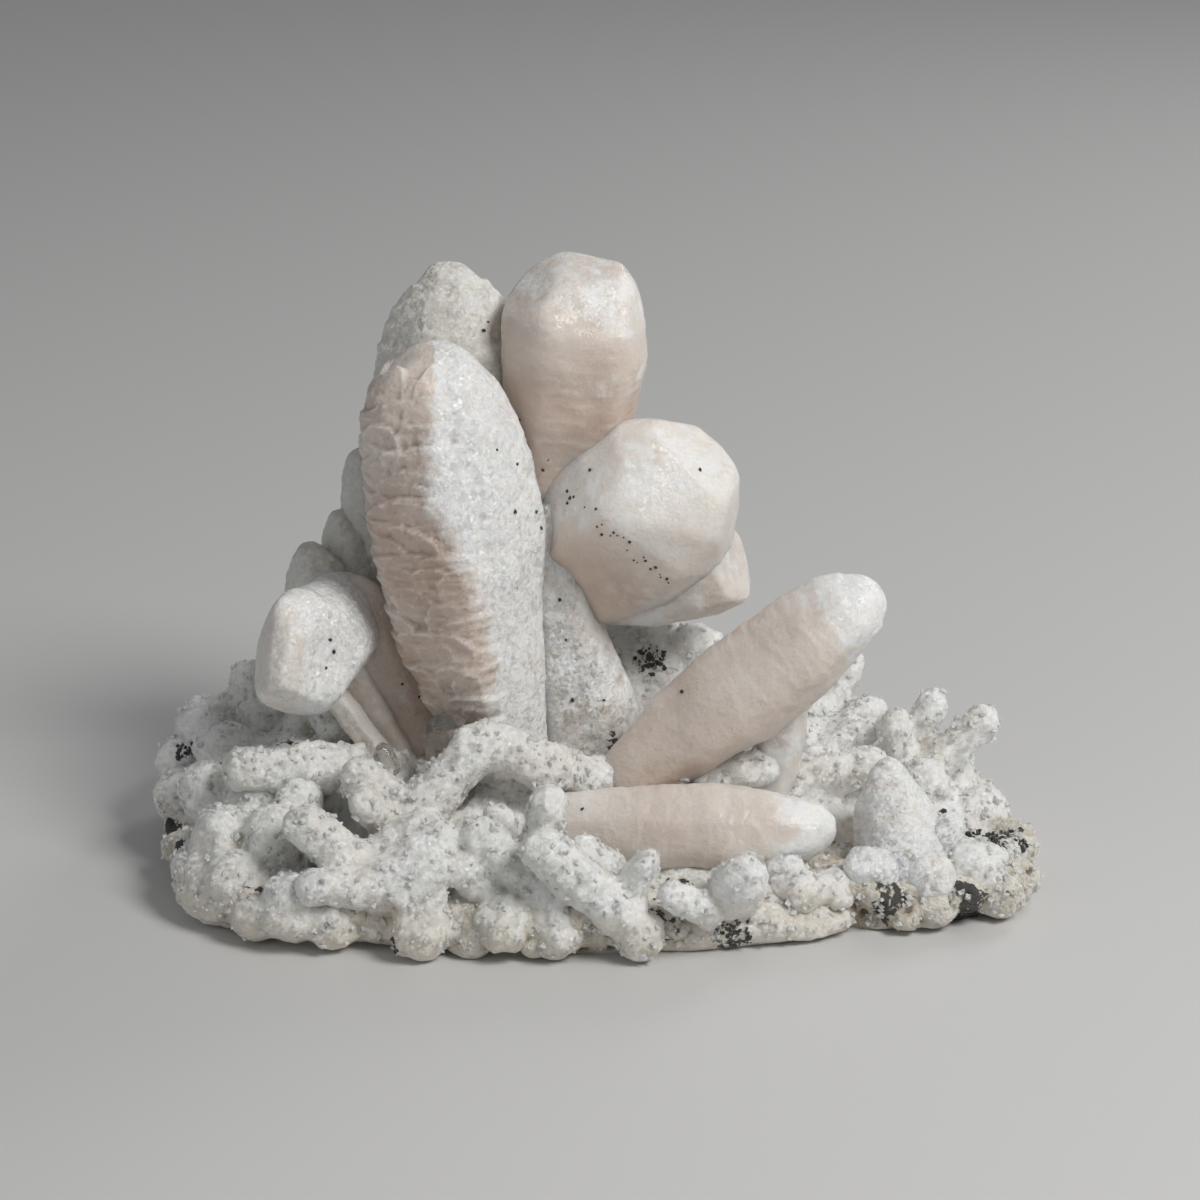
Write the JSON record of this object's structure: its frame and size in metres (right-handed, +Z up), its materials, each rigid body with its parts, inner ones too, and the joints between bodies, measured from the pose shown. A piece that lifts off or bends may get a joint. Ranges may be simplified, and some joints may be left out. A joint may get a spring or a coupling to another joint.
{
  "type": "manganocalcite specimen",
  "caption": "Mineral specimen: blunt pale pink calcite crystals that stand and lie on a flat-bottomed rock plate with a white druse crust and finger-like druse rods.",
  "frame": {"origin": "middle of the bounding box at the height of the flat underside that the specimen rests on", "axes": "+Z up from the resting face; +X to the right along the plate's length, the longest extent; -Y toward the side from which the specimen is looked at"},
  "size_m": [0.1303, 0.0788, 0.0894],
  "materials": {
    "druse": "granular",
    "pink_calcite": "satin, translucent",
    "pale_calcite": "satin, translucent",
    "white_calcite": "satin, translucent",
    "quartz": "clear"
  },
  "bodies": {
    "root": {"matrix": "druse", "main_crystals": "pink_calcite", "diagonal_crystal": "pale_calcite", "lying_crystal": "pale_calcite", "corner_crystals": "white_calcite", "quartz_prisms": "quartz"}
  },
  "joints": []
}
